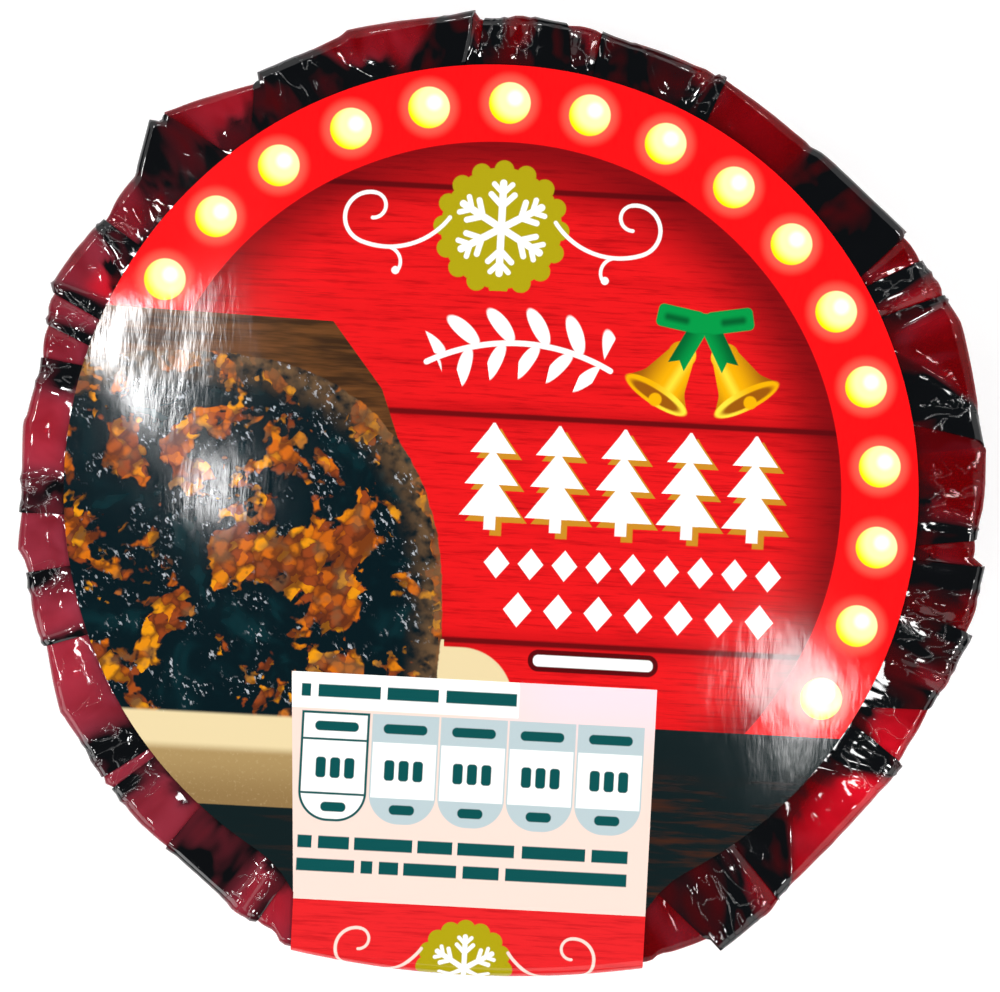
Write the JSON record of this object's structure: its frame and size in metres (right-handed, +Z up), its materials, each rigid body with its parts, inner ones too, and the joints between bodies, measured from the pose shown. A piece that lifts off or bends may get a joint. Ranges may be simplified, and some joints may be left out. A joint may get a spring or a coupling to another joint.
{
  "type": "film-wrapped christmas pudding pack",
  "caption": "Small steamed pudding in a tapered basin, shut in pleated red film with a folded rim, under a round paper label whose tail runs over the rim.",
  "frame": {"origin": "centre of the flat base that the pack stands on", "axes": "+Z up through the label, -Y towards the side that the label's tail runs down, +X to the right of someone facing that side"},
  "size_m": [0.0839, 0.084, 0.0412],
  "materials": {
    "film": "thin see-through red film, glossy and wrinkled, near black where it is folded double",
    "paper": "semi-gloss printed paper, mostly red, with yellow dots round its edge"
  },
  "bodies": {
    "root": {"film_wrap": "film", "label": "paper"}
  },
  "joints": []
}
